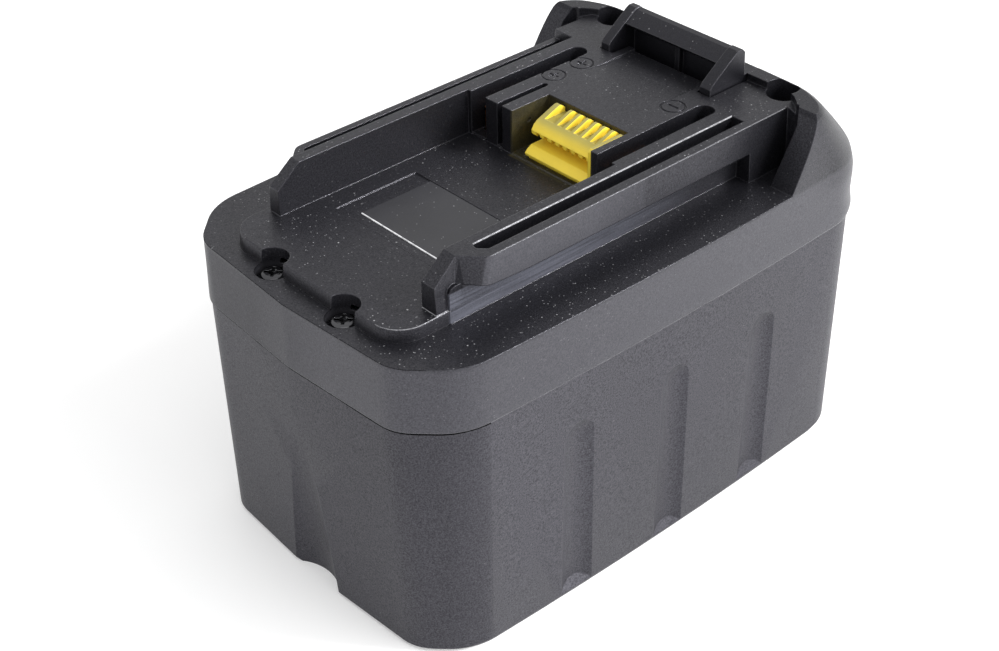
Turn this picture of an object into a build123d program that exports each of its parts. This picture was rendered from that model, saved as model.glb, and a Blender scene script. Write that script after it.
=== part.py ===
from build123d import *
import math
import os

os.makedirs("parts", exist_ok=True)

# ---------------------------------------------------------------- sizes, mm
# +X runs from the front (where the tool comes in) to the rear (latch), +Y to
# the far long side, +Z up. Origin: middle of the footprint, on the bottom.
LEN2 = 67.4            # half length at the seam
HW = 41.0              # half width at the ledge, in the middle of the long side
BOW = 1.54             # crown of a long side, over 60 mm from its middle
VEE = 0.059            # slope of the shallow V of the front and rear faces
Z_SEAM = 57.2          # lower edge of the upper case
Z_LEDGE = 71.6         # ledge beside the rails
Z_FLOOR = 74.6         # raised floor between the rails
Z_DECK = 85.0          # rail tops, deck, and the near flange's strip
Z_STRIP = 83.0         # strip of the far flange, lower than its rail
Z_SHELF = 84.1         # shelf between the deck and the rim
Z_RIM = 86.6           # top of the rear rim
WALL = 2.5
WALL_UP = 2.4

RAIL_IN = 22.2         # inner face of a rail
RAIL_NEAR = (26.4, 25.6)        # outer face of a rail's front end, at the floor and at the top, near side
RAIL_FAR = (25.5, 24.9)         # and far side
WEB_F, WEB_R = 26.85, 27.05   # web of the undercut, at its front and rear end
WING_BOT = 30.7        # outer face of flange and wing, at the ledge
WING_NEAR = 30.1       # the same face at deck level, near side
WING_FAR = 30.5        # and far side
SLOT_NEAR = (24.7, 27.9)        # long slot between rail and strip, near side
SLOT_FAR = (25.1, 28.9)         # and far side
Z_FLANGE = 78.4        # underside of the flange
BLOCK_X = 0.0          # front face of the terminal block

SCREW_F = (-61.2, 11.2)
SCREW_R = (46.8, 25.3)

CELL_D = 26.2
CELL_L = 65.2
PITCH = 26.6
CELL_Z0 = 3.2          # bottom of a cell
TRAVEL = 6.5           # latch stroke


def save(shape, name):
    export_step(shape, "parts/" + name + ".step")
    print(name, "volume %.0f" % sum(s.volume for s in shape.solids()), "solids", len(shape.solids()))


def bx(x0, x1, y0, y1, z0, z1):
    """Box from its corners."""
    return Pos((x0 + x1) / 2, (y0 + y1) / 2, (z0 + z1) / 2) * Box(abs(x1 - x0), abs(y1 - y0), abs(z1 - z0))


def cyl(x, y, z0, z1, r):
    return Pos(x, y, (z0 + z1) / 2) * Cylinder(r, z1 - z0)


def xz(points, y0, y1):
    """Prism: polygon in XZ, from y0 to y1."""
    w = Wire(Polyline([(p[0], y0, p[1]) for p in points], close=True).edges())
    return extrude(Face(w), amount=abs(y1 - y0), dir=(0, 1 if y1 > y0 else -1, 0))


def xy(points, z0, z1):
    """Prism: polygon in plan, from z0 to z1."""
    w = Wire(Polyline([(p[0], p[1], z0) for p in points], close=True).edges())
    return extrude(Face(w), amount=z1 - z0, dir=(0, 0, 1))


def yz(points, x0, x1):
    """Prism: polygon in YZ, from x0 to x1."""
    w = Wire(Polyline([(x0, p[0], p[1]) for p in points], close=True).edges())
    return extrude(Face(w), amount=x1 - x0, dir=(1, 0, 0))


def outline(xf, xr, hw, z, inset=0.0, cdx=11.5, rear_cdx=None, rear_vee=VEE, rear_k=None):
    """Plan section of the case: shallow V ends, rounded corner chamfers,
    crowned long sides. Always the same 18 edges, so sections can be lofted."""
    rear_cdx = cdx if rear_cdx is None else rear_cdx
    t = inset

    def corner(xe, sgn, c, vee=VEE, k=None):
        # C2 on the end face, C1 on the long side; c is the chamfer's depth,
        # k where it starts on the end face
        yw = hw - t - BOW * ((abs(xe) - c) / 60.0) ** 2
        k = (yw + t - c) / (1.0 - vee) if k is None else k
        k = k - 0.44 * t
        c2 = (xe + sgn * (t + vee * k), k)
        c1 = (xe + sgn * (c + t * 0.45), yw)
        return c2, c1

    def unit(a, b):
        d = math.hypot(b[0] - a[0], b[1] - a[1])
        return ((b[0] - a[0]) / d, (b[1] - a[1]) / d)

    def half(sy):
        """Edges from the front apex round to the rear apex on one side."""
        c2f, c1f = corner(xf, 1, cdx)
        c2r, c1r = corner(xr, -1, rear_cdx, rear_vee, rear_k)
        ap_f, ap_r = (xf + t, 0.0), (xr - t, 0.0)
        s = 1.0 - 0.06 * t
        ta, tb = 3.5 * s, 5.6 * s
        u1 = unit(ap_f, c2f)
        u2 = unit(c2f, c1f)
        a1 = (c2f[0] - u1[0] * ta, c2f[1] - u1[1] * ta)
        a2 = (c2f[0] + u2[0] * ta, c2f[1] + u2[1] * ta)
        b1 = (c1f[0] - u2[0] * tb, c1f[1] - u2[1] * tb)
        b2x = c1f[0] + tb
        b2 = (b2x, hw - t - BOW * (b2x / 60.0) ** 2)
        v1 = unit(ap_r, c2r)
        v2 = unit(c2r, c1r)
        d1 = (c2r[0] - v1[0] * ta, c2r[1] - v1[1] * ta)
        d2 = (c2r[0] + v2[0] * ta, c2r[1] + v2[1] * ta)
        e1 = (c1r[0] - v2[0] * tb, c1r[1] - v2[1] * tb)
        e2x = c1r[0] - tb
        e2 = (e2x, hw - t - BOW * (e2x / 60.0) ** 2)
        p = lambda q: (q[0], sy * q[1], z)
        d = lambda q: (q[0], sy * q[1], 0)
        mid_x = (b2x + e2x) / 2
        mid = (mid_x, hw - t - BOW * (mid_x / 60.0) ** 2)
        return [
            Line(p(ap_f), p(a1)),
            TangentArc(p(a1), p(a2), tangent=d(u1)),
            Line(p(a2), p(b1)),
            TangentArc(p(b1), p(b2), tangent=d(u2)),
            ThreePointArc(p(b2), p(mid), p(e2)),
            TangentArc(p(e1), p(e2), tangent=d(v2)),
            Line(p(d2), p(e1)),
            TangentArc(p(d1), p(d2), tangent=d(v1)),
            Line(p(ap_r), p(d1)),
        ]

    edges = half(1) + half(-1)
    return Face(Wire([e if isinstance(e, Edge) else e.edges()[0] for e in edges]))


# ------------------------------------------------------------ lower case
LOW_TOP = 57.0
low_out = loft([
    outline(-64.9, 64.6, 40.1, 0.0, cdx=10.1),
    outline(-65.8, 65.5, 40.55, 1.0, cdx=10.1),
    outline(-67.1, 67.1, 40.95, LOW_TOP),
], ruled=True)
low_in = loft([
    outline(-65.8, 66.2, 40.5, 2.4, inset=WALL, cdx=10.2),
    outline(-67.1, 67.1, 40.95, LOW_TOP + 1, inset=WALL),
], ruled=True)

# flutes: three down each long side, one broad one down each end
FLUTE_R = 7.4
FLUTE_X = (-27.5, 0.0, 27.5)


def side_flute(x, sy, grow=0.0):
    # wall face at z, less the depth: 1.2 at the top, 1.4 at the bottom
    crown = BOW * (x / 60.0) ** 2
    yb = (40.5 - crown) + FLUTE_R - 1.4
    yt = (40.84 - crown) + FLUTE_R - 1.2
    p0, p1 = Vector(x, sy * yb, 0), Vector(x, sy * yt, 41.3)
    d = (p1 - p0).normalized()
    start = p0 - d * 3
    length = (p1 - start).length
    pl = Plane(origin=start, z_dir=d)
    body = extrude(pl * Circle(FLUTE_R + grow), amount=length)
    return body + Pos(p1) * Sphere(FLUTE_R + grow)


def end_flute(sx, grow=0.0):
    r = 10.9
    xb = 65.9 + (r - 3.5)
    xt = 66.9 + r - 0.05
    p0, p1 = Vector(sx * xb, 0, 0), Vector(sx * xt, 0, 42.0)
    d = (p1 - p0).normalized()
    start = p0 - d * 3
    pl = Plane(origin=start, z_dir=d)
    return extrude(pl * Circle(r + grow), amount=(p1 - start).length + 6)


lower_case = low_out
core = low_in
for sy in (1, -1):
    for x in FLUTE_X:
        # the flutes run out just above the base
        runout = yz([(sy * 30, -10), (sy * 45, -10), (sy * 45, 0.2), (sy * 40.8, 0.2), (sy * 38.6, 3.6), (sy * 30, 3.6)],
                    x - 12, x + 12)
        lower_case = lower_case - (side_flute(x, sy) - runout)
        core = core - side_flute(x, sy, 1.3)
for sx in (1, -1):
    lower_case = lower_case - end_flute(sx)
    core = core - end_flute(sx, 2.0)
lower_case = lower_case - core

# rebate for the upper case's tongue, all round the top edge
rebate = loft([
    outline(-67.1, 67.1, 40.95, LOW_TOP - 2.0, inset=1.2),
    outline(-67.1, 67.1, 40.95, LOW_TOP + 1.0, inset=1.2),
], ruled=True)
lower_case = lower_case - rebate

# four posts that take the case screws
POST_F_TOP = 66.6
POST_R_TOP = 72.4
for sy in (1, -1):
    x, y = SCREW_F
    post = cyl(x, sy * y, 2.0, POST_F_TOP, 3.3)
    lower_case = lower_case + (post - cyl(x, sy * y, POST_F_TOP - 16, POST_F_TOP + 1, 1.27))
    x, y = SCREW_R
    post = cyl(x, sy * y, 2.0, POST_R_TOP, 3.3)
    rib = bx(x - 0.9, x + 0.9, sy * y, sy * 38.8, 2.0, 50.0)
    lower_case = lower_case + ((post + rib) - cyl(x, sy * y, POST_R_TOP - 16, POST_R_TOP + 1, 1.27))
save(lower_case, "lower_case")

# ------------------------------------------------------------ upper case
# rear profile of the shoulder: height, rear end, slope of the V, half width,
# depth of the corner chamfer and where it starts
SHOULDER = [
    (57.2, 67.40, 0.059, 41.20, 11.5, 30.0),
    (62.0, 67.30, 0.059, 41.12, 11.5, 30.0),
    (66.0, 66.90, 0.059, 41.08, 11.0, 30.6),
    (70.0, 65.60, 0.059, 41.10, 10.3, 31.4),
    (74.0, 62.70, 0.056, 41.08, 9.6, 31.6),
    (78.0, 59.20, 0.050, 40.98, 8.8, 31.0),
    (82.0, 55.30, 0.040, 40.66, 7.3, 30.1),
    (84.8, 52.40, 0.034, 40.10, 5.9, 29.4),
    (86.6, 49.95, 0.030, 39.35, 5.0, 28.7),
]


def front_end(z):
    return -67.4 + 0.3 * (z - 57.2) / 14.4


up_out = loft([outline(front_end(z), xr, hw, z, rear_cdx=c, rear_vee=v, rear_k=k)
               for z, xr, v, hw, c, k in SHOULDER])
up_in = loft([outline(front_end(z), xr, hw, z, inset=WALL_UP, rear_cdx=c, rear_vee=v, rear_k=k)
              for z, xr, v, hw, c, k in SHOULDER])

# outside: everything above the ledge, in front of the rim's slope, comes off
SLOPE = 0.573
slope_x = lambda z: 33.4 + SLOPE * (z - Z_LEDGE)
upper = up_out - xz([(-90, Z_LEDGE), (slope_x(Z_LEDGE), Z_LEDGE), (slope_x(95), 95), (-90, 95)], -60, 60)
# channels beside the terminal block, closed at the rear
CH_BACK = 42.8
for sy in (1, -1):
    upper = upper - xy([(25, sy * 26), (25, sy * 34.7), (33.4, sy * 34.7), (40.2, sy * 34.9),
                        (CH_BACK, sy * 33.1), (CH_BACK, sy * 26)], Z_LEDGE, 95)
# deck recess inside the rim
recess_pts = [(33.4, 34.7), (40.2, 34.9), (41.2, 33.8), (42.3, 32.7), (43.4, 31.9), (44.8, 30.1), (45.4, 29.0),
              (45.9, 26.0)]
recess = xy([(25, 34.7)] + recess_pts + [(x, -y) for x, y in reversed(recess_pts)] + [(25, -34.7)], Z_SHELF, 95)
upper = upper - recess


def mirror_y(s):
    return s + mirror(s, about=Plane.XZ)


# raised floor (plateau) with a drafted, rounded edge
def plateau_face(z, g):
    # drafted at the front; the long sides stand almost upright
    sk = Pos((-61.0 + 36.0) / 2, 0, z) * RectangleRounded(97.0 + 2 * g, 53.4 + min(0.0, 2 * g), 6.5 + g)
    return sk.faces()[0]


plateau = loft([plateau_face(Z_LEDGE - 0.5, 0.45), plateau_face(Z_FLOOR - 0.35, 0.1),
                plateau_face(Z_FLOOR, -0.1)], ruled=True)
plateau = plateau & bx(-70, 30, -40, 40, 60, 90)
upper = upper + plateau

# deck block, full height, and the rails in front of it
SLOT_R = 31.5          # rear end of the near slot
WING_X = 33.4          # front face of the far wing
STOP_F = 31.2          # front face of the stops that close the channels


def flange_face(z, x0, y0, y1):
    """Plan of a flange: its front end runs out at 45 degrees from the rail
    (x0, y0) to the outer edge y1, with a rounded corner."""
    t = 1.3
    xc = x0 + (y1 - y0)
    h = t / math.sqrt(2)
    pt = lambda x, y: (x, y, z)
    arc = TangentArc(pt(xc - h, y1 - h), pt(xc + t, y1), tangent=(1, 1, 0))
    edges = [Line(pt(x0, 24.0), pt(x0, y0)), Line(pt(x0, y0), pt(xc - h, y1 - h)), arc,
             Line(pt(xc + t, y1), pt(33.5, y1)), Line(pt(33.5, y1), pt(33.5, 24.0)), Line(pt(33.5, 24.0), pt(x0, 24.0))]
    return Face(Wire([e if isinstance(e, Edge) else e.edges()[0] for e in edges]))


def rail_side(wing_top, z_strip, rail_y, slot, slot_end, wing_x):
    """One rail with its web, flange, stop and wing, on the +Y side."""
    face_y = lambda z: WING_BOT + (wing_top - WING_BOT) * (z - 71.0) / (Z_DECK - 71.0)
    core = xz([(-51.0, 71.0), (-50.9, 80.4), (-45.3, Z_DECK), (45.0, Z_DECK), (45.0, 71.0)], RAIL_IN, 27.5)
    foot_y, top_y = rail_y
    core = core & yz([(20, 70), (foot_y + 0.25, 71.0), (top_y, Z_DECK), (20, Z_DECK + 1)], -60, 60)
    web = xy([(-48.15, 24.0), (-48.15, WEB_F), (43.5, WEB_R), (43.5, 24.0)], 71.0, 79.6) & \
        xz([(-48.15, 71.0), (-48.15, 78.4), (-47.7, 79.2), (-46.8, 79.6), (43.5, 79.6), (43.5, 71.0)], 20, 30)
    # the flange's front corner, at deck height and at its underside
    lean = (Z_DECK - Z_FLANGE) / 6.6
    lean_s = (Z_DECK - z_strip) / 6.6
    top = (z_strip, -45.3 - lean_s, top_y + 0.5 * lean_s, face_y(z_strip))
    bot = (Z_FLANGE, -45.3 - lean, top_y + 0.5 * lean, face_y(Z_FLANGE))
    flange = loft([flange_face(*bot), flange_face(*top)], ruled=True)
    # its underside rises a little at the front
    flange = flange - xz([(-60, 77), (-60, 79.9), (-46.4, 79.4), (-41.7, 79.0), (-36.0, 78.6), (-31.0, Z_FLANGE),
                          (-31.0, 77)], 20, 35)
    stop = yz([(24.0, 71.0), (WING_BOT, 71.0), (face_y(z_strip - 0.5), z_strip - 0.5), (24.0, z_strip - 0.5)],
              STOP_F, wing_x + 0.2)
    wing = yz([(24.0, 71.0), (WING_BOT, 71.0), (wing_top, Z_DECK), (24.0, Z_DECK)], wing_x, CH_BACK)
    s = core + web + flange + stop + wing
    y0, y1 = slot
    # the slot's front end is cut on the skew, along the flange's front
    return s - xy([(-40.4, y0), (-40.75, y0 + 1.2), (-40.6, y0 + 1.75), (-39.15, y1), (slot_end, y1), (slot_end, y0)],
                  79.4, 90)


near_side = mirror(rail_side(WING_NEAR, Z_DECK, RAIL_NEAR, SLOT_NEAR, SLOT_R, SLOT_R), about=Plane.XZ)
far_side = rail_side(WING_FAR, Z_STRIP, RAIL_FAR, SLOT_FAR, WING_X, WING_X)
block = bx(BLOCK_X, 45.9, -24.0, 24.0, 70.6, Z_DECK)
block = block + bx(30.0, 45.9, -24.2, 24.2, 78.0, Z_DECK)
upper = upper + near_side + far_side + block
# rails' and block's inner corners at deck level
for sy in (1, -1):
    upper = upper + bx(WING_X + 0.2, 45.9, sy * 23.5, sy * 26.0, 78.0, Z_DECK)
    upper = upper + bx(-0.3, 31.5, sy * 21.2, sy * 22.4, 72.0, Z_DECK)


# the deck behind the wings, and the facet that falls to the rim
recess_low = xy([(25, 34.7)] + recess_pts + [(x, -y) for x, y in reversed(recess_pts)] + [(25, -34.7)], 80.0, 95)
for sy in (1, -1):
    back = xy([(CH_BACK - 0.4, sy * 20.0), (CH_BACK - 0.4, sy * 30.0), (46.4, sy * 30.0), (46.4, sy * 20.0)],
              80.0, Z_DECK) & recess_low
    facet = yz([(sy * 29.8, 80.0), (sy * 29.8, Z_DECK), (sy * 30.1, Z_DECK), (sy * 33.1, Z_SHELF), (sy * 33.1, 80.0)],
               CH_BACK - 0.02, 45.0) & recess_low
    upper = upper + back + facet

# inside: cavity under the ledge, under the floor, and in the rear shoulder
cavity = up_in & bx(-80, 80, -60, 60, 50, Z_LEDGE - WALL_UP)
cavity = cavity + xy([(-58.0, 22), (-58.0, -22), (-3.0, -22), (-3.0, 22)], 60, Z_FLOOR - WALL_UP)
shoulder_in = up_in & xz([(47.6, 60), (47.6, 84.0), (53.0, 84.0), (75, 74.0), (75, 60)], -36.0, 36.0)
cavity = cavity + shoulder_in
# hollow middle of the block, over the control board
cavity = cavity + bx(13.4, 32.0, -14.2, 14.2, 60, Z_DECK - 2.6) + bx(30.0, 37.2, -11.4, 11.4, 60, Z_DECK - 2.8)
cavity = cavity + bx(-3.5, 32.0, -23.4, 23.4, 60, 72.4)
upper = upper - cavity

# tongue into the lower case's rebate
tongue_o = loft([outline(-67.1, 67.1, 40.95, Z_SEAM - 1.8, inset=1.32),
                 outline(-67.1, 67.1, 40.95, Z_SEAM + 0.6, inset=1.32)], ruled=True)
tongue_i = loft([outline(-67.1, 67.1, 40.95, Z_SEAM - 2.0, inset=WALL - 0.05),
                 outline(-67.1, 67.1, 40.95, Z_SEAM + 0.8, inset=WALL - 0.05)], ruled=True)
upper = upper + (tongue_o - tongue_i)
for sy in (1, -1):
    upper = upper - cyl(SCREW_F[0], sy * SCREW_F[1], 50, POST_F_TOP + 0.2, 3.5)

# terminal slots, the narrow slot, the connector pocket
for sy in (1, -1):
    slot = bx(-1.0, 29.3, sy * 16.8, sy * 21.2, 75.0, 90) + cyl(29.3, sy * 19.0, 75.0, 90, 2.2)
    upper = upper - slot
    upper = upper - bx(2.6, 15.4, sy * 17.1, sy * 20.9, 60, 76)
upper = upper - (bx(-1.0, 13.0, 11.6, 13.2, 75.0, 90) + cyl(13.0, 12.4, 75.0, 90, 0.8))
upper = upper - bx(2.6, 11.0, 11.7, 13.1, 60, 76)
upper = upper - bx(-1.0, 10.8, -14.95, 8.6, 74.9, 90)
upper = upper - bx(1.2, 10.8, -14.95, 4.95, 60, 76)
# moulding mark on the pocket's side
upper = upper - (Pos(5.0, 8.6, 81.0) * Rot(90, 0, 0) * Cylinder(0.45, 0.5))

# gently dished pad in front of the latch
upper = upper - xz([(24.3, Z_DECK + 0.01), (39.4, Z_DECK - 0.65), (39.4, Z_DECK + 1), (24.3, Z_DECK + 1)], -10.9, 10.9)

# opening for the latch: two cheek slots, the window, and the cut in the rim
LATCH_Y = 16.6         # outer face of the far cheek
LATCH_N = 15.8         # and of the near cheek
CLR = 0.3
opening = bx(39.4, 48.0, -13.5, 13.5, 60, 95)
for sy in (1, -1):
    side = LATCH_Y if sy > 0 else LATCH_N
    opening = opening + bx(34.2, 48.0, sy * (side - 3.6), sy * (side + CLR), 60, 95)
opening = opening + xz([(45.0, 68.8), (45.0, 95), (75, 95), (75, 68.8)], -(LATCH_N + CLR), LATCH_Y + CLR)
upper = upper - opening

# counterbores and bosses of the case screws
for sy in (1, -1):
    x, y = SCREW_F
    upper = upper + cyl(x, sy * y, POST_F_TOP + 0.2, 71.0, 4.5)
    upper = upper - cyl(x, sy * y, 69.2, 80, 3.58)
    upper = upper - cyl(x, sy * y, 60, 80, 1.75)
    x, y = SCREW_R
    upper = upper + (cyl(x, sy * y, POST_R_TOP + 0.2, 84.0, 5.4) - bx(40, 60, -17.5, 17.5, 60, 95))
    upper = upper - cyl(x, sy * y, 74.9, 95, 3.62)
    upper = upper - cyl(x, sy * y, 60, 80, 1.75)

# ribs under the shoulder that stop the latch at the top of its stroke
STOP_X, STOP_Z = (50.5, 53.5), 77.2
for sy in (1, -1):
    upper = upper + (bx(STOP_X[0], STOP_X[1], sy * 17.2, sy * 19.4, STOP_Z, 84.0) & up_out)

# bosses that carry the latch bracket
BR_X, BR_Y, BR_Z = 57.2, 22.5, 61.6
for sy in (1, -1):
    boss = cyl(BR_X, sy * BR_Y, BR_Z, 79.0, 2.9)
    upper = upper + (boss & up_out)
    upper = upper - cyl(BR_X, sy * BR_Y, BR_Z - 1, BR_Z + 11, 1.05)

# pillars under the floor that carry the control board
BOARD_Z = 69.9
BOARD_T = 1.6
BOARD_PTS = [(-0.6, 13.8), (-0.6, -13.8), (29.0, 16.0), (29.0, -16.0)]
for bx_, by_ in BOARD_PTS:
    upper = upper + cyl(bx_, by_, BOARD_Z + BOARD_T, 72.9, 2.0)
    upper = upper - cyl(bx_, by_, 60, 73.8, 0.98)
# pockets for the tops of the rear posts
for sy in (1, -1):
    upper = upper - cyl(SCREW_R[0], sy * SCREW_R[1], 60, POST_R_TOP + 0.2, 3.6)

# polarity rings and marks, engraved
def ring(x, y, plus):
    s = cyl(x, y, Z_DECK - 0.35, Z_DECK + 1, 2.8) - cyl(x, y, Z_DECK - 1, Z_DECK + 2, 2.38)
    s = s + bx(x - 1.4, x + 1.4, y - 0.27, y + 0.27, Z_DECK - 0.35, Z_DECK + 1)
    if plus:
        s = s + bx(x - 0.27, x + 0.27, y - 1.4, y + 1.4, Z_DECK - 0.35, Z_DECK + 1)
    return s


upper = upper - ring(17.6, 14.3, True)
upper = upper - ring(25.9, 14.2, True)
upper = upper - (cyl(25.8, -13.3, Z_DECK - 0.35, Z_DECK + 1, 2.8) - cyl(25.8, -13.3, Z_DECK - 1, Z_DECK + 2, 2.38))
upper = upper - bx(25.53, 26.07, -14.7, -11.9, Z_DECK - 0.35, Z_DECK + 1)

# shallow recess for the film on the floor
LABEL = (-40.8, -19.7, 17.0)
upper = upper - bx(LABEL[0], LABEL[1], -LABEL[2], LABEL[2], Z_FLOOR - 0.3, Z_FLOOR + 1)
save(upper, "upper_case")

label = bx(-38.2, LABEL[1] - 0.15, -16.0, 12.1, Z_FLOOR - 0.3, Z_FLOOR - 0.12)
save(label, "blank_label")

# ------------------------------------------------------------ release latch
# thumb button, level with the rim and then following the shoulder
button = [(45.3, 86.5), (49.6, 86.5), (50.9, 85.6), (52.4, 84.1), (54.9, 81.1), (57.6, 77.8), (60.2, 74.3), (61.8, 71.5),
          (62.6, 69.4), (62.9, 67.6), (62.9, 65.6)]
cheek_pts = [(34.4, 80.6), (34.4, 86.4), (35.0, 87.2), (41.9, 92.2), (42.8, 92.7), (44.2, 92.7), (45.0, 91.9)] + button + \
    [(60.9, 65.6), (60.6, 69.0), (57.0, 73.6), (51.0, 79.0), (46.4, 80.6)]
latch = xz(cheek_pts, LATCH_Y - 2.4, LATCH_Y)
latch = latch + xz(cheek_pts, -(LATCH_N - 2.9), -LATCH_N)
bar = [(39.4, 90.1), (41.9, 91.9), (42.8, 92.4), (44.2, 92.5), (45.0, 91.8)] + button + \
    [(60.9, 65.6), (60.7, 68.6), (58.2, 72.9), (55.5, 76.6), (52.8, 80.0), (49.4, 83.8), (45.0, 83.8),
     (45.0, 80.6), (42.5, 80.6), (42.5, 89.2), (40.2, 89.2)]
latch = latch + xz(bar, -LATCH_N + 2.8, LATCH_Y - 2.3)
# rib in the middle of the window
latch = latch + bx(41.1, 43.0, -0.65, 0.65, 81.5, 89.6)
# grip ridges across the thumb button
def button_z(x):
    for (xa, za), (xb, zb) in zip(button, button[1:]):
        if xa <= x <= xb:
            return za + (zb - za) * (x - xa) / (xb - xa)


for i in range(5):
    x = 51.9 + i * 1.95
    latch = latch + (Pos(x, 0, button_z(x) - 0.3) * Rot(90, 0, 0) * Cylinder(0.62, 22.0))
# side lugs that meet the stop ribs
for sy in (1, -1):
    latch = latch + bx(STOP_X[0], STOP_X[1], sy * 15.0, sy * 19.0, STOP_Z - 2.8, STOP_Z - 0.15)

# two spigots that locate the springs
SPR_X, SPR_Y, SPR_R = 54.8, 9.0, 3.0
SEAT_Z = 73.2
for sy in (1, -1):
    latch = latch + (cyl(SPR_X, sy * SPR_Y, SEAT_Z, 80.5, 3.6) & xz([(45, 60), (45, 86), (48.6, 85.5), (53.2, 81.6),
                     (56.6, 78.2), (59.8, 74.3), (61.6, 71.5), (62.6, 69.4), (62.6, 60)], -16, 16))
    latch = latch + cyl(SPR_X, sy * SPR_Y, SEAT_Z - 2.0, SEAT_Z + 0.2, 1.9)
save(latch, "release_latch")

# ------------------------------------------------------------ latch bracket and springs
BRK_TOP = BR_Z - 0.0
bracket = bx(51.2, 60.4, -26.0, 26.0, BRK_TOP - 2.4, BRK_TOP) - cyl(1.5 * PITCH, 0, 50, 70, CELL_D / 2 + 1.3)
for sy in (1, -1):
    bracket = bracket - cyl(SCREW_R[0], sy * SCREW_R[1], 50, 70, 4.2)
for sy in (1, -1):
    bracket = bracket + cyl(SPR_X, sy * SPR_Y, BRK_TOP - 0.5, BRK_TOP + 2.2, 1.9)
    bracket = bracket - cyl(BR_X, sy * BR_Y, 50, 70, 1.35)
save(bracket, "latch_bracket")


def spring(x, y, z0, z1, r, wire, turns):
    """Closed coil spring with flattened ends, as one tube."""
    h = Helix(pitch=(z1 - z0 - wire) / turns, height=z1 - z0 - wire, radius=r - wire / 2)
    h = Pos(x, y, z0 + wire / 2) * h
    e = h.edges()[0]
    pl = Plane(origin=e @ 0, z_dir=e % 0)
    return sweep(pl * Circle(wire / 2), path=e, is_frenet=True)


spring_l = spring(SPR_X, SPR_Y, BRK_TOP + 0.02, SEAT_Z - 0.02, SPR_R, 0.7, 6.0)
spring_r = spring(SPR_X, -SPR_Y, BRK_TOP + 0.02, SEAT_Z - 0.02, SPR_R, 0.7, 6.0)
save(spring_l, "latch_spring_left")
save(spring_r, "latch_spring_right")


# ------------------------------------------------------------ screws
def pan_screw(x, y, z_seat, length, head_r, head_h, shank_r, down=True):
    """Pan head screw with a cross recess; its head sits on z_seat."""
    head = cyl(x, y, z_seat, z_seat + head_h, head_r)
    head = fillet(head.edges().filter_by(GeomType.CIRCLE).sort_by(Axis.Z)[-1], head_h * 0.55)
    s = head + cyl(x, y, z_seat - length, z_seat + 0.2, shank_r)
    for a in (45, 135):
        s = s - (Pos(x, y, z_seat + head_h - 0.2) * Rot(0, 0, a) * Box(head_r * 1.25, 0.62, 1.9))
    s = s - (Pos(x, y, z_seat + head_h - 0.5) * Cone(0.35, 0.95, 1.1))
    return s


front_screws = pan_screw(SCREW_F[0], SCREW_F[1], 69.2, 14.0, 2.8, 2.0, 1.25) + \
    pan_screw(SCREW_F[0], -SCREW_F[1], 69.2, 14.0, 2.8, 2.0, 1.25)
save(front_screws, "case_screws_front")
rear_screws = pan_screw(SCREW_R[0], SCREW_R[1], 74.9, 14.0, 2.6, 1.9, 1.25) + \
    pan_screw(SCREW_R[0], -SCREW_R[1], 74.9, 14.0, 2.6, 1.9, 1.25)
save(rear_screws, "case_screws_rear")


def up_screw(x, y, z_seat, length, head_r, head_h, shank_r):
    """The same screw driven upwards: its head hangs below z_seat."""
    s = cyl(x, y, z_seat - head_h, z_seat, head_r) + cyl(x, y, z_seat - 0.2, z_seat + length, shank_r)
    for a in (0, 90):
        s = s - (Pos(x, y, z_seat - head_h) * Rot(0, 0, a) * Box(head_r * 1.3, 0.5, head_h * 0.9))
    return s


br_screws = up_screw(BR_X, BR_Y, BRK_TOP - 2.4, 11.0, 2.4, 1.6, 1.04) + \
    up_screw(BR_X, -BR_Y, BRK_TOP - 2.4, 11.0, 2.4, 1.6, 1.04)
save(br_screws, "bracket_screws")

# ------------------------------------------------------------ signal connector
CY0, CY1 = -14.8, 4.8
jaw = [(8.7, 84.9), (3.7, 83.0), (2.75, 82.3), (2.1, 81.2), (2.2, 80.4), (2.7, 79.9), (3.6, 79.9), (6.6, 79.7),
       (6.6, 77.9), (2.0, 77.8), (0.9, 77.2), (0.15, 76.5), (0.3, 75.9), (1.4, 75.3), (1.4, 72.6), (10.6, 72.6),
       (10.6, 84.0), (9.4, 84.9)]
conn = xz(jaw, CY0, CY1)
# the valleys between the top ribs
RIB0, RIB_P = 0.1, 2.42
rib_y = [RIB0 - i * RIB_P for i in range(6)]
edges_y = [3.9] + rib_y + [CY0 + 0.45]
for i in range(len(edges_y) - 1):
    a, b = edges_y[i] - 0.42, edges_y[i + 1] + 0.42
    conn = conn - xz([(5.4, 83.0), (10.7, 83.0), (10.7, 90), (4.6, 90), (4.6, 83.35)], b, a)
# closed end wall on the near side
conn = conn + xz([(0.15, 76.4), (0.2, 84.2), (0.9, 84.95), (9.0, 84.95), (10.6, 84.0), (10.6, 76)], CY0, CY0 + 0.85)
# contact windows through the nose
pin_y = [2.9 - i * 2.3 for i in range(8)]
for y in pin_y:
    conn = conn - bx(1.0, 9.6, y - 0.55, y + 0.55, 80.0, 81.1)
    conn = conn - bx(1.5, 3.3, y - 0.75, y + 0.75, 79.5, 80.5)
    conn = conn - bx(8.7, 9.7, y - 0.55, y + 0.55, 70.0, 81.1)
# fixing flange under the floor of the pocket
conn = conn & bx(-1, 10.6, CY0, CY1, 71.6, 90)
for fx, fy in ((3.2, CY0 + 1.2), (3.2, CY1 - 1.2), (8.0, CY1 - 0.9), (8.0, CY0 + 0.9)):
    conn = conn + cyl(fx, fy, 71.52, 73.5, 0.7)
save(conn, "signal_connector")

pins = None
for y in pin_y:
    p = bx(3.2, 9.4, y - 0.4, y + 0.4, 80.3, 80.8) + bx(8.9, 9.4, y - 0.4, y + 0.4, 69.4, 80.8)
    pins = p if pins is None else pins + p
save(pins, "signal_pins")


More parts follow.
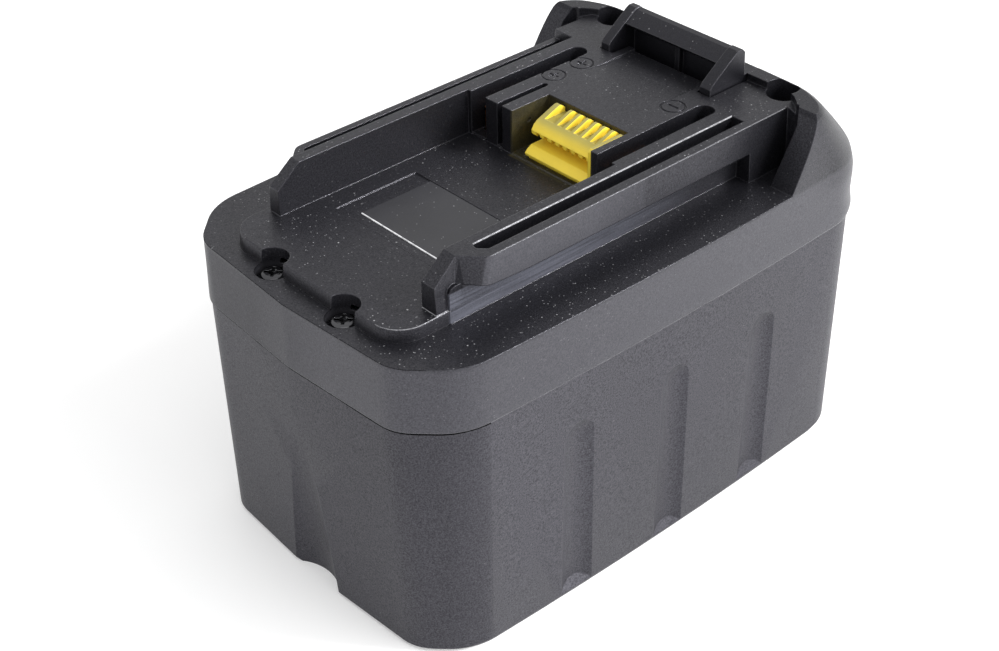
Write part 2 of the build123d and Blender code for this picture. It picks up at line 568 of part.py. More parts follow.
# ------------------------------------------------------------ power contacts
def fork(x0, x1, y, w, gap, z0, z1):
    """Fork contact: two leaf blades that lean together, on a common foot."""
    foot = bx(x0 + 2.0, x1, y - w / 2, y + w / 2, z0, z0 + 0.8)
    s = foot + bx(x0 + 5.0, x0 + 7.5, y - w / 2 + 0.4, y + w / 2 - 0.4, z0 - 2.4, z0 + 0.4)
    for k in (1, -1):
        yo, yi = y + k * w / 2, y + k * gap / 2
        t = 0.6
        pts = [(x0, y + k * (w / 2 - 0.1)), (x0, y + k * (w / 2 - 0.1 - t)), (x0 + 3.4, yi), (x1 - 4, yi + k * 0.5),
               (x1, yo - k * t), (x1, yo), (x1 - 4.2, yi + k * (0.5 + t)), (x0 + 3.4, yi + k * t)]
        s = s + xy(pts, z0, z1)
    return s


t_pos = fork(3.0, 15.0, 19.0, 3.4, 0.9, 72.2, 80.4)
t_neg = fork(3.0, 15.0, -19.0, 3.4, 0.9, 72.2, 80.4)
save(t_pos, "terminal_positive")
save(t_neg, "terminal_negative")
t_chg = bx(3.0, 10.6, 12.1, 12.7, 72.2, 80.6) + bx(5.0, 7.0, 12.1, 12.7, 69.4, 73)
save(t_chg, "terminal_charge")

# ------------------------------------------------------------ control board
BRD = (-2.8, 31.4, 23.0)
board = bx(BRD[0], BRD[1], -BRD[2], BRD[2], BOARD_Z, BOARD_Z + BOARD_T)
for sx, sy in BOARD_PTS:
    board = board - cyl(sx, sy, BOARD_Z - 1, BOARD_Z + 3, 1.15)
for y in (19.0, -19.0):
    board = board - bx(7.8, 10.7, y - 1.5, y + 1.5, 60, 80)
for y in pin_y:
    board = board - bx(8.7, 9.6, y - 0.5, y + 0.5, 60, 80)
board = board - bx(4.8, 7.2, 11.9, 12.9, 60, 80)
save(board, "control_board")

brd_screws = None
for sx, sy in BOARD_PTS:
    s = up_screw(sx, sy, BOARD_Z, 3.6, 1.8, 0.7, 0.95)
    brd_screws = s if brd_screws is None else brd_screws + s
save(brd_screws, "board_screws")

chips = bx(16.0, 23.0, -4.0, 3.0, 71.5, 73.1) + bx(25.0, 28.5, 4.0, 9.0, 71.5, 72.8) + \
    bx(16.5, 19.0, 7.0, 12.0, 71.5, 73.0) + bx(25.0, 28.0, -10.5, -6.0, 71.5, 73.2)
save(chips, "board_chips")
fets = bx(17.0, 22.0, -13.4, -7.4, 71.5, 73.3) + bx(-1.8, 1.8, 5.6, 10.6, 71.5, 72.35) + \
    bx(-1.8, 1.8, -10.6, -5.6, 71.5, 72.35)
save(fets, "power_transistors")
fuse = bx(22.6, 30.4, 10.2, 13.6, 71.5, 75.0)
fuse = fuse - bx(23.6, 29.4, 11.2, 12.6, 74.4, 76)
save(fuse, "fuse")

# ------------------------------------------------------------ cells
ROW_Y = PITCH * math.sqrt(3) / 2
rows = {
    "left": [(-PITCH, ROW_Y), (0.0, ROW_Y), (PITCH, ROW_Y)],
    "middle": [(-1.5 * PITCH, 0.0), (-0.5 * PITCH, 0.0), (0.5 * PITCH, 0.0), (1.5 * PITCH, 0.0)],
    "right": [(-PITCH, -ROW_Y), (0.0, -ROW_Y), (PITCH, -ROW_Y)],
}
CELL_Z1 = CELL_Z0 + CELL_L
# which way up each cell stands: 1 has its positive end up
up_way = {}
order = [rows["left"][0], rows["middle"][0], rows["right"][0], rows["middle"][1], rows["right"][1],
         rows["middle"][2], rows["right"][2], rows["middle"][3], rows["left"][2], rows["left"][1]]
for i, c in enumerate(order):
    up_way[c] = 1 if i % 2 == 0 else -1


def cell(x, y, up):
    r = CELL_D / 2
    c = cyl(x, y, CELL_Z0, CELL_Z1, r)
    c = fillet(c.edges().filter_by(GeomType.CIRCLE), 0.8)
    zt = CELL_Z1 if up > 0 else CELL_Z0
    # groove round the rolled neck, and the insulated step round the button
    zn = CELL_Z1 - 4.0 if up > 0 else CELL_Z0 + 4.0
    c = c - (Pos(x, y, zn) * Torus(r + 0.35, 0.9))
    if up > 0:
        c = c - (cyl(x, y, zt - 0.7, zt + 1, r - 1.6) - cyl(x, y, zt - 1, zt + 2, 4.6))
    else:
        c = c - (cyl(x, y, zt - 1, zt + 0.7, r - 1.6) - cyl(x, y, zt - 2, zt + 1, 4.6))
    return c


for name, cs in rows.items():
    g = None
    for (x, y) in cs:
        k = cell(x, y, up_way[(x, y)])
        g = k if g is None else g + k
    save(g, "cells_" + name + "_row")

rings = None
for c in order:
    zt = CELL_Z1 if up_way[c] > 0 else CELL_Z0
    za, zb = (zt - 0.6, zt - 0.2) if up_way[c] > 0 else (zt + 0.2, zt + 0.6)
    r = cyl(c[0], c[1], za, zb, 11.3) - cyl(c[0], c[1], za - 1, zb + 1, 4.8)
    rings = r if rings is None else rings + r
save(rings, "cell_insulator_rings")


# ------------------------------------------------------------ cell holders
def holder(z0, z1, w):
    g = None
    for c in order:
        s = cyl(c[0], c[1], z0, z1, CELL_D / 2 + w)
        g = s if g is None else g + s
    # webs between neighbours, then the pockets
    for i in range(len(order)):
        for j in range(i):
            a, b = order[i], order[j]
            if math.hypot(a[0] - b[0], a[1] - b[1]) < PITCH * 1.05:
                m = ((a[0] + b[0]) / 2, (a[1] + b[1]) / 2)
                g = g + cyl(m[0], m[1], z0, z1, 6.5)
    for c in order:
        g = g - cyl(c[0], c[1], z0 - 1, z1 + 1, CELL_D / 2 + 0.08)
    return g


HOLD_W = 0.75
h_low = holder(3.6, 14.0, HOLD_W) & bx(-56, 56, -36.6, 36.6, 0, 90)
h_up = holder(54.0, 64.4, HOLD_W) & bx(-53.9, 53.9, -36.6, 36.6, 0, 90)
save(h_low, "cell_holder_lower")
save(h_up, "cell_holder_upper")


# ------------------------------------------------------------ straps
def strap(a, b, z0, z1):
    L = math.hypot(b[0] - a[0], b[1] - a[1])
    ang = math.degrees(math.atan2(b[1] - a[1], b[0] - a[0]))
    m = ((a[0] + b[0]) / 2, (a[1] + b[1]) / 2)
    s = Pos(m[0], m[1], (z0 + z1) / 2) * Rot(0, 0, ang) * Box(L + 8.6, 8.6, z1 - z0)
    s = s - (Pos(a[0], a[1], (z0 + z1) / 2) * Rot(0, 0, ang) * Box(3.4, 0.7, 2))
    s = s - (Pos(b[0], b[1], (z0 + z1) / 2) * Rot(0, 0, ang) * Box(3.4, 0.7, 2))
    return s


ST = 0.2
pairs_top, pairs_bot = [], []
for i in range(len(order) - 1):
    # the negative end of cell i meets the positive end of cell i + 1
    (pairs_bot if up_way[order[i]] > 0 else pairs_top).append((order[i], order[i + 1]))
s_top, s_bot = None, None
for a, b in pairs_top:
    s = strap(a, b, CELL_Z1, CELL_Z1 + ST)
    s_top = s if s_top is None else s_top + s
for a, b in pairs_bot:
    s = strap(a, b, CELL_Z0 - ST, CELL_Z0)
    s_bot = s if s_bot is None else s_bot + s
save(s_top, "straps_top")
save(s_bot, "straps_bottom")
print("top pairs", pairs_top, "bottom pairs", pairs_bot)

# bus bars from the two end cells of the chain to the board
first, last = order[0], order[-1]
INS_T0, INS_T1 = CELL_Z1 + ST + 0.02, CELL_Z1 + ST + 0.42      # sheet over the straps
RUN0, RUN1 = INS_T1 + 0.03, INS_T1 + 0.33                      # bus bars and flex on the sheet
bus_p = bx(first[0] - 4.3, first[0] + 4.3, first[1] - 4.3, first[1] + 4.3, CELL_Z1, CELL_Z1 + ST)
bus_p = bus_p + bx(first[0] + 4.0, first[0] + 4.3, first[1] - 4.3, first[1] - 1.5, CELL_Z1, RUN1)
bus_p = bus_p + bx(first[0] + 4.0, -1.4, first[1] - 4.3, first[1] - 1.5, RUN0, RUN1)
bus_p = bus_p + bx(-1.7, -1.4, first[1] - 4.3, first[1] - 1.5, RUN0, BOARD_Z)
save(bus_p, "bus_bar_positive")
bus_n = bx(last[0] - 4.3, last[0] + 4.3, last[1] - 4.3, last[1] + 4.3, CELL_Z1, CELL_Z1 + ST)
bus_n = bus_n + bx(last[0] + 1.0, last[0] + 4.3, last[1] - 3.3, last[1] - 3.0, CELL_Z1, BOARD_Z)
save(bus_n, "bus_bar_negative")

# sense flex: a thin strip on the sheet, with a tab down to each upper strap
FL = 0.15
flex = bx(-44.0, -3.2, -3.0, 3.0, RUN0, RUN0 + FL)
flex = flex + bx(-3.35, -3.2, -3.0, 3.0, RUN0, BOARD_Z + BOARD_T + 0.02 + FL)
flex = flex + bx(-3.35, 0.2, -3.0, 3.0, BOARD_Z + BOARD_T + 0.02, BOARD_Z + BOARD_T + 0.02 + FL)
FLEX_TABS = [(-36.5, -6.5), (-10.0, -6.5)]
for fx, fy in FLEX_TABS:
    flex = flex + bx(fx - 1.5, fx + 1.5, fy, -2.9, RUN0, RUN0 + FL)
    flex = flex + bx(fx - 1.5, fx + 1.5, fy, fy + FL, CELL_Z1 + ST, RUN0 + FL)
save(flex, "sense_flex")

# thermistor in the gap between three cells
TH = (0.0, ROW_Y / 3)
therm = cyl(TH[0], TH[1], 64.8, 68.0, 1.7)
therm = fillet(therm.edges().filter_by(GeomType.CIRCLE), 0.5)
for k in (-0.8, 0.8):
    therm = therm + cyl(TH[0] + k, TH[1], 67.8, BOARD_Z, 0.25)
save(therm, "thermistor")

# foam pads between the end cells and the case
foam = bx(-60.0, -53.1, -6.2, 6.2, 20.0, 50.0) + bx(53.1, 60.0, -6.2, 6.2, 20.0, 50.0)
save(foam, "foam_pads")

# ------------------------------------------------------------ insulation
ins_b = (loft([outline(-65.8, 66.2, 40.3, 2.42, inset=WALL + 1.4), outline(-65.8, 66.2, 40.3, 2.82, inset=WALL + 1.4)],
              ruled=True))
for sy in (1, -1):
    ins_b = ins_b - cyl(SCREW_F[0], sy * SCREW_F[1], 0, 10, 3.6)
    ins_b = ins_b - cyl(SCREW_R[0], sy * SCREW_R[1], 0, 10, 3.6) - bx(SCREW_R[0] - 1.3, SCREW_R[0] + 1.3, sy * 25, sy * 40, 0, 10)
for sy in (1, -1):
    for x in FLUTE_X:
        ins_b = ins_b - side_flute(x, sy, 1.7)
for sx in (1, -1):
    ins_b = ins_b - end_flute(sx, 2.4)
save(ins_b, "insulator_bottom")

ins_t = None
for c in order:
    k = cyl(c[0], c[1], INS_T0, INS_T1, CELL_D / 2 + 0.2)
    ins_t = k if ins_t is None else ins_t + k
for i in range(len(order)):
    for j in range(i):
        a, b = order[i], order[j]
        if math.hypot(a[0] - b[0], a[1] - b[1]) < PITCH * 1.05:
            ins_t = ins_t + cyl((a[0] + b[0]) / 2, (a[1] + b[1]) / 2, INS_T0, INS_T1, 7.6)
for sy in (1, -1):
    ins_t = ins_t - cyl(SCREW_R[0], sy * SCREW_R[1], 60, 80, 3.6)
    ins_t = ins_t - cyl(SCREW_F[0], sy * SCREW_F[1], 60, 80, 3.6)
ins_t = ins_t - bx(first[0] + 3.8, first[0] + 4.5, first[1] - 4.6, first[1] + 1.0, 60, 80)
ins_t = ins_t - bx(last[0] + 0.7, last[0] + 4.6, last[1] - 3.6, last[1] - 2.7, 60, 80)
for fx, fy in FLEX_TABS:
    ins_t = ins_t - bx(fx - 1.8, fx + 1.8, fy - 0.3, fy + 0.5, 60, 80)
ins_t = ins_t - bx(TH[0] - 1.4, TH[0] + 1.4, TH[1] - 0.6, TH[1] + 0.6, 60, 80)
save(ins_t, "insulator_top")
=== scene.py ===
import math

import bpy
from mathutils import Matrix, Vector


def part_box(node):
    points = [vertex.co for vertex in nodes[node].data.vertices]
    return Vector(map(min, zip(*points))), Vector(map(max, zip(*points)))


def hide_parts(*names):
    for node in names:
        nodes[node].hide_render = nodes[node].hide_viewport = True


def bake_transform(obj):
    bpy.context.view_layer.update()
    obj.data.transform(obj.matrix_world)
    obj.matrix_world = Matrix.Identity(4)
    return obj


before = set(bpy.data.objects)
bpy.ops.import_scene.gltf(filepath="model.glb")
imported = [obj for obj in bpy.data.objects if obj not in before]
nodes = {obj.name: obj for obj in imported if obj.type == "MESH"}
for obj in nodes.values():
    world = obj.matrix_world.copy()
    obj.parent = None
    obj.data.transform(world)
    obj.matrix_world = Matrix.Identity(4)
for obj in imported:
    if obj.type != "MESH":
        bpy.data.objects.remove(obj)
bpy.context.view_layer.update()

scene = bpy.context.scene

# ------------------------------------------------------------------ camera
# Solved from the straight edges of the photograph: place, rotation and lens
# in the model's own frame, in metres.
cam_data = bpy.data.cameras.new("camera")
cam = bpy.data.objects.new("camera", cam_data)
scene.collection.objects.link(cam)
cam_data.sensor_fit = "HORIZONTAL"
cam_data.sensor_width = 36.0
cam_data.lens = 63.1857
cam_data.shift_x = 0.004156
cam_data.shift_y = -0.000104
cam_data.clip_start = 0.01
cam_data.clip_end = 20.0
cam.matrix_world = Matrix((
    (0.74258369, 0.39504078, -0.54084401, -0.21872699),
    (-0.66956203, 0.41857617, -0.61358022, -0.23304022),
    (-0.01600479, 0.81776328, 0.57533214, 0.25940416),
    (0, 0, 0, 1),
))
scene.camera = cam


# ------------------------------------------------------------------ shading of the CAD nodes
def smooth_group():
    """Smooth shading with sharp edges kept, as a modifier, so the mesh itself is left alone."""
    g = bpy.data.node_groups.new("smooth_by_angle", "GeometryNodeTree")
    g.interface.new_socket("Geometry", in_out="INPUT", socket_type="NodeSocketGeometry")
    g.interface.new_socket("Geometry", in_out="OUTPUT", socket_type="NodeSocketGeometry")
    n_in = g.nodes.new("NodeGroupInput")
    n_out = g.nodes.new("NodeGroupOutput")
    weld = g.nodes.new("GeometryNodeMergeByDistance")
    weld.inputs["Distance"].default_value = 1e-6
    face = g.nodes.new("GeometryNodeSetShadeSmooth")
    face.domain = "FACE"
    face.inputs["Shade Smooth"].default_value = True
    edge = g.nodes.new("GeometryNodeSetShadeSmooth")
    edge.domain = "EDGE"
    edge.inputs["Shade Smooth"].default_value = False
    ang = g.nodes.new("GeometryNodeInputMeshEdgeAngle")
    cmp_ = g.nodes.new("FunctionNodeCompare")
    cmp_.data_type = "FLOAT"
    cmp_.operation = "GREATER_THAN"
    cmp_.inputs[1].default_value = math.radians(24)
    g.links.new(n_in.outputs[0], weld.inputs["Geometry"])
    g.links.new(weld.outputs[0], face.inputs["Geometry"])
    g.links.new(face.outputs[0], edge.inputs["Geometry"])
    g.links.new(ang.outputs["Unsigned Angle"], cmp_.inputs[0])
    g.links.new(cmp_.outputs[0], edge.inputs["Selection"])
    g.links.new(edge.outputs[0], n_out.inputs[0])
    return g


SMOOTH = smooth_group()
for o in nodes.values():
    m = o.modifiers.new("smooth", "NODES")
    m.node_group = SMOOTH


# ------------------------------------------------------------------ material helpers
class Mat:
    """A node-based material with a few short helpers."""

    def __init__(self, name):
        self.m = bpy.data.materials.new(name)
        self.m.use_nodes = True
        self.t = self.m.node_tree
        self.t.nodes.clear()
        self.out = self.t.nodes.new("ShaderNodeOutputMaterial")
        self.b = self.t.nodes.new("ShaderNodeBsdfPrincipled")
        self.t.links.new(self.b.outputs[0], self.out.inputs[0])
        self.co = self.t.nodes.new("ShaderNodeTexCoord").outputs["Object"]

    def node(self, kind, **props):
        n = self.t.nodes.new(kind)
        for k, v in props.items():
            setattr(n, k, v)
        return n

    def link(self, a, b):
        self.t.links.new(a, b)

    def set(self, **kw):
        for k, v in kw.items():
            self.b.inputs[k.replace("_", " ")].default_value = v

    def noise(self, scale, detail=2.0, rough=0.5, vec=None, dist=0.0):
        n = self.node("ShaderNodeTexNoise")
        n.inputs["Scale"].default_value = scale
        n.inputs["Detail"].default_value = detail
        n.inputs["Roughness"].default_value = rough
        n.inputs["Distortion"].default_value = dist
        self.link(vec if vec is not None else self.co, n.inputs["Vector"])
        return n.outputs["Fac"]

    def ramp(self, fac, stops):
        r = self.node("ShaderNodeValToRGB")
        e = r.color_ramp.elements
        while len(e) < len(stops):
            e.new(0.5)
        for i, (p, c) in enumerate(stops):
            e[i].position = p
            e[i].color = (c, c, c, 1) if isinstance(c, (int, float)) else tuple(c) + (1,)
        self.link(fac, r.inputs[0])
        return r.outputs["Color"]

    def mix(self, fac, a, b):
        """a and b are colours or sockets."""
        n = self.node("ShaderNodeMix", data_type="RGBA")
        for sock, v in ((n.inputs["Factor"], fac),):
            if hasattr(v, "is_linked"):
                self.link(v, sock)
            else:
                sock.default_value = v
        for sock, v in ((n.inputs[6], a), (n.inputs[7], b)):
            if hasattr(v, "is_linked"):
                self.link(v, sock)
            else:
                sock.default_value = tuple(v) + (1,) if len(v) == 3 else v
        return n.outputs[2]

    def math(self, op, a, b=None, clamp=False):
        n = self.node("ShaderNodeMath", operation=op, use_clamp=clamp)
        for i, v in enumerate((a, b)):
            if v is None:
                continue
            if hasattr(v, "is_linked"):
                self.link(v, n.inputs[i])
            else:
                n.inputs[i].default_value = v
        return n.outputs[0]

    def maprange(self, v, a, b, c, d):
        n = self.node("ShaderNodeMapRange")
        self.link(v, n.inputs[0])
        for i, x in enumerate((a, b, c, d)):
            n.inputs[i + 1].default_value = x
        return n.outputs[0]

    def bump(self, height, strength, distance, normal=None):
        n = self.node("ShaderNodeBump")
        n.inputs["Strength"].default_value = strength
        n.inputs["Distance"].default_value = distance
        self.link(height, n.inputs["Height"])
        if normal is not None:
            self.link(normal, n.inputs["Normal"])
        return n.outputs["Normal"]

    def up(self):
        """0 on walls, 1 on faces that look up."""
        g = self.node("ShaderNodeNewGeometry")
        s = self.node("ShaderNodeSeparateXYZ")
        self.link(g.outputs["Normal"], s.inputs[0])
        return self.maprange(s.outputs["Z"], 0.6, 0.95, 0.0, 1.0)

    def edge(self, radius=0.00035, gain=6.0):
        """1 along convex and concave edges: where a rounded normal leaves the face's own."""
        bv = self.node("ShaderNodeBevel", samples=6)
        bv.inputs["Radius"].default_value = radius
        g = self.node("ShaderNodeNewGeometry")
        d = self.node("ShaderNodeVectorMath", operation="DOT_PRODUCT")
        self.link(bv.outputs[0], d.inputs[0])
        self.link(g.outputs["Normal"], d.inputs[1])
        inv = self.math("SUBTRACT", 1.0, d.outputs["Value"])
        return self.math("MULTIPLY", inv, gain, clamp=True), bv.outputs[0]

    def place(self):
        """Object coordinates, one by one."""
        s = self.node("ShaderNodeSeparateXYZ")
        self.link(self.co, s.inputs[0])
        return s.outputs

    def within(self, v, a, b, soft):
        """1 between a and b, falling to 0 over the soft width on either side."""
        lo = self.math("MINIMUM", self.math("MAXIMUM", self.maprange(v, a - soft, a, 0.0, 1.0), 0.0), 1.0)
        hi = self.math("MINIMUM", self.math("MAXIMUM", self.maprange(v, b, b + soft, 1.0, 0.0), 0.0), 1.0)
        return self.math("MULTIPLY", lo, hi)

    def specks(self, scale, size, keep, vec=None):
        """Small bright grains of dust: a few cells of a Voronoi pattern."""
        v = self.node("ShaderNodeTexVoronoi")
        v.inputs["Scale"].default_value = scale
        v.inputs["Randomness"].default_value = 1.0
        self.link(vec if vec is not None else self.co, v.inputs["Vector"])
        near = self.maprange(v.outputs["Distance"], size, size * 0.55, 0.0, 1.0)
        sep = self.node("ShaderNodeSeparateColor")
        self.link(v.outputs["Color"], sep.inputs[0])
        some = self.math("GREATER_THAN", sep.outputs[0], 1.0 - keep)
        some = self.math("MULTIPLY", some, self.maprange(sep.outputs[1], 0.0, 1.0, 0.25, 1.0))
        return self.math("MULTIPLY", self.math("MAXIMUM", near, 0.0), some, clamp=True)

    def box(self, bx, by, bz, soft=0.0002):
        """1 inside a box given by three (from, to) pairs in metres."""
        x, y, z = self.place()[0:3]
        f = self.within(x, bx[0], bx[1], soft)
        f = self.math("MULTIPLY", f, self.within(y, by[0], by[1], soft))
        return self.math("MULTIPLY", f, self.within(z, bz[0], bz[1], soft))

    def along_x(self, stretch=0.04):
        """Coordinates drawn out along X, for marks left by sliding."""
        v = self.node("ShaderNodeVectorMath", operation="MULTIPLY")
        self.link(self.co, v.inputs[0])
        v.inputs[1].default_value = (stretch, 1.0, 1.0)
        return v.outputs[0]


def moulded(name, base, edge_wear_and_highlight_col, rough=0.56, grain=0.22, dust=0.5, tint=(1.0, 1.0, 1.0), spec=0.5, glint_amp=0.5,
            special=None):
    """Spark-eroded black plastic: fine grain, faint flow mottling, rounded edges with a lighter colour
    along them that is partly wear and partly painted highlight, dust specks on what faces up. special adds marks of
    its own."""
    m = Mat(name)
    fine = m.noise(5200.0, 1.5, 0.6)
    mid = m.noise(2300.0, 2.0, 0.6)
    broad = m.noise(38.0, 4.0, 0.55)
    flow = m.noise(9.0, 2.0, 0.5)
    c0 = tuple(x * 0.86 * t for x, t in zip(base, tint))
    c1 = tuple(x * 1.16 * t for x, t in zip(base, tint))
    col = m.mix(m.maprange(broad, 0.3, 0.7, 0.0, 1.0), c0, c1)
    col = m.mix(m.math("MULTIPLY", m.maprange(mid, 0.52, 0.75, 0.0, 1.0), 0.22), col, tuple(x * 1.7 for x in base))
    e, rounded = m.edge()
    # a lighter colour along every edge, convex and concave alike: partly wear, partly painted highlight
    col = m.mix(m.math("MULTIPLY", e, 0.55), col, edge_wear_and_highlight_col)
    dark = None
    if special is not None:
        col, dark = special(m, col)
    if dust > 0:
        up = m.up()
        patch = m.maprange(m.noise(55.0, 3.0, 0.6), 0.38, 0.62, 0.25, 1.0)
        s1 = m.specks(620.0, 0.13, 0.42 * dust)
        s2 = m.specks(1500.0, 0.23, 0.30 * dust)
        s3 = m.specks(230.0, 0.055, 0.45 * dust)
        s = m.math("ADD", m.math("ADD", s1, s2), s3, clamp=True)
        s = m.math("MULTIPLY", m.math("MULTIPLY", s, patch), m.math("ADD", m.math("MULTIPLY", up, 0.80), 0.20))
        col = m.mix(m.math("MULTIPLY", s, 0.62), col, (0.62, 0.62, 0.64))
    m.link(col, m.b.inputs["Base Color"])
    r = m.maprange(m.math("ADD", m.math("MULTIPLY", broad, 0.5), m.math("MULTIPLY", flow, 0.5)), 0.3, 0.7,
                   rough - 0.05, rough + 0.05)
    r = m.math("SUBTRACT", r, m.math("MULTIPLY", e, 0.24))
    m.link(r, m.b.inputs["Roughness"])
    h = m.math("ADD", m.math("MULTIPLY", fine, 0.7), m.math("MULTIPLY", mid, 0.45))
    n1 = m.bump(h, grain, 0.00010, rounded)
    m.link(n1, m.b.inputs["Normal"])
    m.set(IOR=1.5)
    # the texture's tiny flats catch the light unevenly
    glint = m.math("ADD", m.math("MULTIPLY", m.noise(2700.0, 1.5, 0.7), 0.6), m.math("MULTIPLY", fine, 0.4))
    level = m.maprange(glint, 0.36, 0.64, spec * (1.0 - glint_amp), spec * (1.0 + glint_amp))
    if dark is not None:
        level = m.math("MULTIPLY", level, m.math("SUBTRACT", 1.0, dark))
    m.link(level, m.b.inputs["Specular IOR Level"])
    m.b.inputs["Specular Tint"].default_value = (0.90, 0.888, 1.0, 1.0)
    return m.m


def plain(name, base, rough=0.5, metal=0.0, scale=900.0, grain=0.12, var=0.15, spec=0.5, edge=0.4, coat=0.0):
    m = Mat(name)
    n1 = m.noise(scale, 3.0, 0.6)
    n2 = m.noise(scale * 0.06, 3.0, 0.5)
    c0 = tuple(x * (1 - var) for x in base)
    c1 = tuple(min(1.0, x * (1 + var)) for x in base)
    col = m.mix(m.maprange(n2, 0.3, 0.7, 0.0, 1.0), c0, c1)
    e, rounded = m.edge(0.00015)
    # a lighter colour along the edges, convex and concave alike: painted highlight
    col = m.mix(m.math("MULTIPLY", e, edge), col, tuple(min(1.0, x * 1.5 + 0.02) for x in base))
    m.link(col, m.b.inputs["Base Color"])
    m.link(m.maprange(n1, 0.3, 0.7, rough - 0.05, rough + 0.05), m.b.inputs["Roughness"])
    m.link(m.bump(n1, grain, 0.00004, rounded), m.b.inputs["Normal"])
    m.b.inputs["Metallic"].default_value = metal
    m.b.inputs["Specular IOR Level"].default_value = spec
    if coat:
        m.b.inputs["Coat Weight"].default_value = coat
        m.b.inputs["Coat Roughness"].default_value = 0.15
    return m.m


def film(name, base):
    """Thin dark film: smooth, a little glossy, with dust and one bright line across it near its front."""
    m = Mat(name)
    n1 = m.noise(2200.0, 3.0, 0.6)
    n2 = m.noise(90.0, 3.0, 0.5)
    col = m.mix(m.maprange(n2, 0.3, 0.7, 0.0, 1.0), tuple(v * 0.88 for v in base), tuple(v * 1.14 for v in base))
    dots = m.math("ADD", m.specks(620.0, 0.12, 0.16), m.specks(1500.0, 0.22, 0.10), clamp=True)
    col = m.mix(m.math("MULTIPLY", dots, 0.5), col, (0.55, 0.55, 0.57))
    x, y, z = m.place()[0:3]
    # a bright line across the film near its front, broken up by noise
    bright_line = m.within(x, -0.0390, -0.03795, 0.00008)
    bright_line = m.math("MULTIPLY", bright_line, m.maprange(m.noise(500.0, 2.0, 0.6), 0.30, 0.55, 0.45, 1.0))
    col = m.mix(bright_line, col, (0.75, 0.75, 0.77))
    m.link(col, m.b.inputs["Base Color"])
    m.link(m.maprange(n1, 0.3, 0.7, 0.30, 0.38), m.b.inputs["Roughness"])
    m.b.inputs["Specular IOR Level"].default_value = 0.40
    m.link(m.bump(n1, 0.05, 0.00004), m.b.inputs["Normal"])
    return m.m


def yellow(name, side, top_painted_shade):
    """Yellow moulding: clear colour on the walls; on top a darker, greyer copy of it, painted shade against the light
    that falls there.
    """
    m = Mat(name)
    n1 = m.noise(1600.0, 3.0, 0.6)
    n2 = m.noise(140.0, 3.0, 0.5)
    lift = m.maprange(n2, 0.3, 0.7, 0.0, 1.0)
    c_side = m.mix(lift, tuple(v * 0.93 for v in side), tuple(min(1.0, v * 1.05) for v in side))
    c_top_painted_shade = m.mix(lift, tuple(v * 0.92 for v in top_painted_shade), tuple(min(1.0, v * 1.08) for v in top_painted_shade))
    z = m.place()[2]
    # the top faces get the darker colour: painted shade
    col = m.mix(m.math("MULTIPLY", m.up(), m.math("GREATER_THAN", z, 0.0815)), c_side, c_top_painted_shade)
    e, rounded = m.edge(0.00015)
    # paler yellow along the edges: painted highlight
    col = m.mix(m.math("MULTIPLY", e, 0.35), col, (0.93, 0.80, 0.22))
    m.link(col, m.b.inputs["Base Color"])
    m.link(m.maprange(n1, 0.3, 0.7, 0.40, 0.50), m.b.inputs["Roughness"])
    m.link(m.bump(n1, 0.10, 0.00004, rounded), m.b.inputs["Normal"])
    m.b.inputs["Specular IOR Level"].default_value = 0.4
    return m.m


